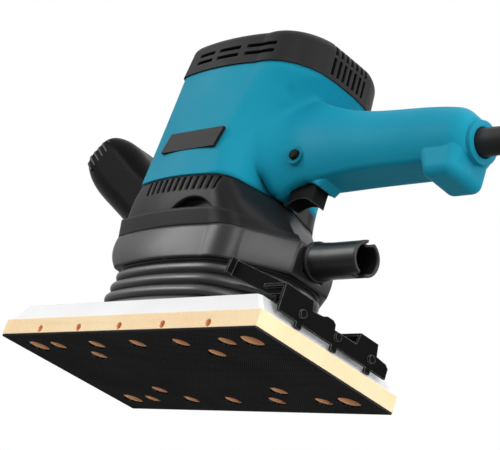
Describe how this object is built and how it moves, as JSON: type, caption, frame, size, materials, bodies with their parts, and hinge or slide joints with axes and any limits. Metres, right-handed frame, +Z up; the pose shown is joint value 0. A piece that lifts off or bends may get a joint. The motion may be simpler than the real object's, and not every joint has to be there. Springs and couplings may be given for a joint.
{
  "type": "orbital_sander",
  "caption": "Half-sheet orbital sander with a teal motor housing, black front grip and casing, bellows, dust nozzle, paper clamps and a perforated foam pad.",
  "frame": {"origin": "centre of the pad's working face", "axes": "+X to the rear handle, +Y to the tool's right side, +Z up"},
  "size_m": [0.5355, 0.1415, 0.2125],
  "materials": {
    "teal_plastic": "moulded, fine satin",
    "black_plastic": "moulded, satin black",
    "grip_black": "moulded, satin black",
    "trigger_black": "moulded, satin black",
    "badge_black": "smooth, bare",
    "fan_plastic": "moulded",
    "black_rubber": "soft satin",
    "cord_rubber": "soft satin",
    "hook_black": "fine woven ribs",
    "foam": "fine closed-cell foam",
    "cast_plate": "die cast, pale",
    "clamp_black": "black stamped steel",
    "bearing_steel": "ground",
    "screw_steel": "zinc plated",
    "core_steel": "stacked sheets",
    "copper": "copper winding",
    "brass": "stamped",
    "pin_metal": "polished pins",
    "carbon": "pressed carbon"
  },
  "bodies": {
    "housing": {"housing_left": "teal_plastic", "housing_right": "teal_plastic", "top_cover": "black_plastic", "lower_housing": "black_plastic", "dust_casing": "black_plastic", "inlet_ring": "black_plastic", "dust_nozzle": "black_plastic", "bellows": "black_rubber", "rubber_legs": "black_rubber", "front_grip": "grip_black", "badge_plate": "badge_black", "housing_screws": "screw_steel", "cover_screws": "screw_steel", "casing_screws": "screw_steel", "grip_bolts": "screw_steel", "switch_body": "black_plastic", "cord_clamp": "black_plastic", "inner_lead": "cord_rubber", "cord_guard": "cord_rubber", "cord_run": "cord_rubber", "cord_coil": "cord_rubber", "cord_tail": "cord_rubber", "cord_tie": "black_plastic", "plug_body": "cord_rubber", "plug_pins": "pin_metal", "stator_core": "core_steel", "stator_coils": "copper", "motor_bracket": "cast_plate", "upper_bearing": "bearing_steel", "lower_bearing": "bearing_steel", "brush_holders": "brass", "carbon_brushes": "carbon", "brush_springs": "screw_steel"},
    "rotor": {"motor_shaft": "bearing_steel", "armature_core": "core_steel", "armature_windings": "copper", "commutator": "copper", "cooling_fan": "fan_plastic", "dust_fan": "fan_plastic", "balance_weight": "core_steel"},
    "pad": {"base_plate": "cast_plate", "pad_foam": "foam", "hook_face": "hook_black", "pad_bearing": "bearing_steel", "bearing_retainer": "bearing_steel", "retainer_screws": "screw_steel", "rear_clamp_pin": "screw_steel", "front_clamp_pin": "screw_steel"},
    "rear_clamp": {"rear_clamp": "clamp_black"},
    "front_clamp": {"front_clamp": "clamp_black"},
    "trigger": {"trigger": "trigger_black"},
    "lock_button": {"lock_button": "trigger_black"}
  },
  "joints": [
    {"name": "shaft_spin", "type": "hinge", "parent": "housing", "child": "rotor", "pos_m": [0, 0, 0.09], "axis": [0, 0, 1], "continuous": true},
    {"name": "pad_orbit", "type": "hinge", "parent": "rotor", "child": "pad", "pos_m": [0.0024, 0, 0.0245], "axis": [0, 0, 1], "continuous": true},
    {"name": "rear_clamp_swing", "type": "hinge", "parent": "pad", "child": "rear_clamp", "pos_m": [0.1005, 0, 0.0262], "axis": [0, -1, 0], "range_deg": [0, 24], "stiffness_Nm_per_rad": 0.5},
    {"name": "front_clamp_swing", "type": "hinge", "parent": "pad", "child": "front_clamp", "pos_m": [-0.1005, 0, 0.0262], "axis": [0, 1, 0], "range_deg": [0, 24], "stiffness_Nm_per_rad": 0.5},
    {"name": "trigger_pull", "type": "slide", "parent": "housing", "child": "trigger", "axis": [0, 0, 1], "range_m": [0, 0.0055], "stiffness_N_per_m": 300},
    {"name": "lock_press", "type": "slide", "parent": "housing", "child": "lock_button", "axis": [0, 1, 0], "range_m": [0, 0.0024], "stiffness_N_per_m": 300}
  ],
  "couplings": [
    {"joint": "pad_orbit", "follows": "shaft_spin", "ratio": -1}
  ]
}
